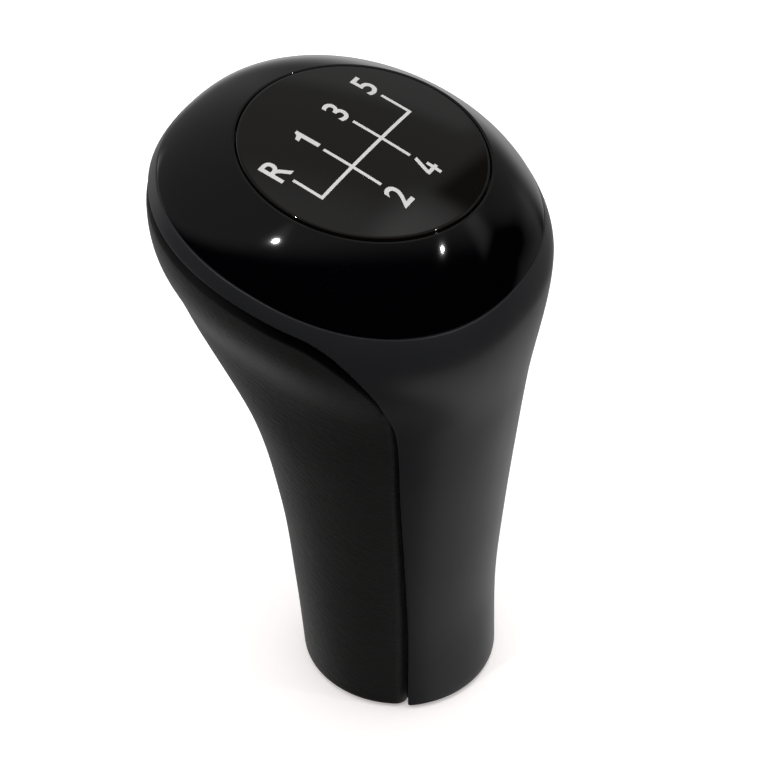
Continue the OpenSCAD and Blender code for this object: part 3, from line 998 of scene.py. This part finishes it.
def floor_paper():
    """White paper that the camera sees as lit a little more than it is."""
    f = Finish("floor_paper")
    seen = f.node("ShaderNodeLightPath", output="Is Camera Ray")
    glow = f.node("ShaderNodeEmission", inputs={"Color": (1, 0.93, 0.91), "Strength": seen * FLOOR_GLOW})
    paper = f.node("ShaderNodeBsdfDiffuse", inputs={"Color": (0.9, 0.885, 0.88)})
    f.node_output(f.node("ShaderNodeAddShader", inputs={0: paper, 1: glow}))
    return f.material


def set_floor():
    bm = bmesh.new()
    bmesh.ops.create_circle(bm, cap_ends=True, segments=FLOOR_CORNERS, radius=FLOOR_R)
    away = Vector((-CAMERA_PLACE.x, -CAMERA_PLACE.y, 0)).normalized()
    bmesh.ops.translate(bm, verts=bm.verts, vec=away * (FLOOR_R - FLOOR_IN_FRONT))
    floor = stage_mesh(bm, "floor", floor_paper())
    floor.visible_glossy = False


def within(f, angle, half, edge):
    """1 where an angle lies within half either way, and 0 past the soft edge, both given in degrees."""
    off = f.maths_node("ABSOLUTE", angle)
    return f.smoothstep(off, math.radians(half + edge / 2), math.radians(half - edge / 2))


def surroundings_glow():
    """The room as reflections see it: the wide soft light, its patches, and black elsewhere."""
    f = Finish("surroundings")
    x, y, z = f.axes()
    rise = f.maths_node("ARCTAN2", z, f.maths_node("SQRT", x * x + y * y))
    aim = direction(*OVERHEAD) / SURROUNDINGS_R
    off_aim = f.maths_node("ARCCOSINE", x * aim.x + y * aim.y + z * aim.z)
    glow = within(f, off_aim, OVERHEAD_RADIUS, OVERHEAD_EDGE) * OVERHEAD_GLOW
    for azimuth, elevation, half_width, half_height, edge, brightness in PATCHES.values():
        ahead = direction(azimuth, 0)
        turn = f.maths_node("ARCTAN2", x * ahead.y - y * ahead.x, x * ahead.x + y * ahead.y)
        patch = within(f, turn, half_width, edge)
        patch = patch * within(f, rise - math.radians(elevation), half_height, edge)
        glow = glow + patch * brightness
    f.node_output(f.node("ShaderNodeEmission", inputs={"Strength": f.maths_node("MAXIMUM", glow, 0)}))
    return f.material


def set_surroundings():
    bm = bmesh.new()
    bmesh.ops.create_icosphere(bm, subdivisions=SURROUNDINGS_DETAIL, radius=SURROUNDINGS_R)
    room = stage_mesh(bm, "surroundings", surroundings_glow())
    room.location = LIGHTS_AIM
    room.visible_camera = False
    room.visible_diffuse = False
    room.visible_shadow = False
    room.visible_transmission = False


def set_lamp(name, azimuth, elevation, distance, width, power, glossy):
    lamp = bpy.data.lights.new(name, "AREA")
    lamp.shape = "DISK"
    lamp.size = width
    lamp.energy = power
    holder = bpy.data.objects.new(name, lamp)
    away = direction(azimuth, elevation)
    holder.location = LIGHTS_AIM + away * distance
    holder.rotation_euler = away.to_track_quat("Z", "Y").to_euler()
    holder.visible_glossy = glossy
    bpy.context.scene.collection.objects.link(holder)


def set_world():
    """A white background for the camera, gloss and glass, and a soft light all round for the rest."""
    world = bpy.data.worlds.new("world")
    world.use_nodes = True
    nodes, links = world.node_tree.nodes, world.node_tree.links
    nodes.clear()

    def maths(operation, first, second):
        made = nodes.new("ShaderNodeMath")
        made.operation = operation
        for socket, value in zip(made.inputs, (first, second)):
            if hasattr(value, "links"):
                links.new(value, socket)
            else:
                socket.default_value = value
        return made.outputs[0]

    ray = nodes.new("ShaderNodeLightPath").outputs
    seen = maths("MAXIMUM", ray["Is Camera Ray"], ray["Is Glossy Ray"])
    seen = maths("MAXIMUM", seen, ray["Is Transmission Ray"])
    white = nodes.new("ShaderNodeBackground")
    white.inputs["Color"].default_value = (1, 1, 1, 1)
    links.new(maths("MAXIMUM", seen, SOFT_LIGHT), white.inputs["Strength"])
    end = nodes.new("ShaderNodeOutputWorld")
    links.new(white.outputs[0], end.inputs["Surface"])
    bpy.context.scene.world = world


set_camera()
for piece in (
    crown(piano_lacquer()),
    gear_disc(disc_gloss()),
    gear_marks(hot_foil()),
    leather_facing(nappa_leather()),
    rear_housing(satin_soft_touch()),
):
    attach(piece, "root")
dress_inner_nodes()
set_floor()
set_surroundings()
for name, settings in LAMPS.items():
    set_lamp(name, *settings)
set_world()
bpy.context.scene.view_settings.view_transform = "Standard"
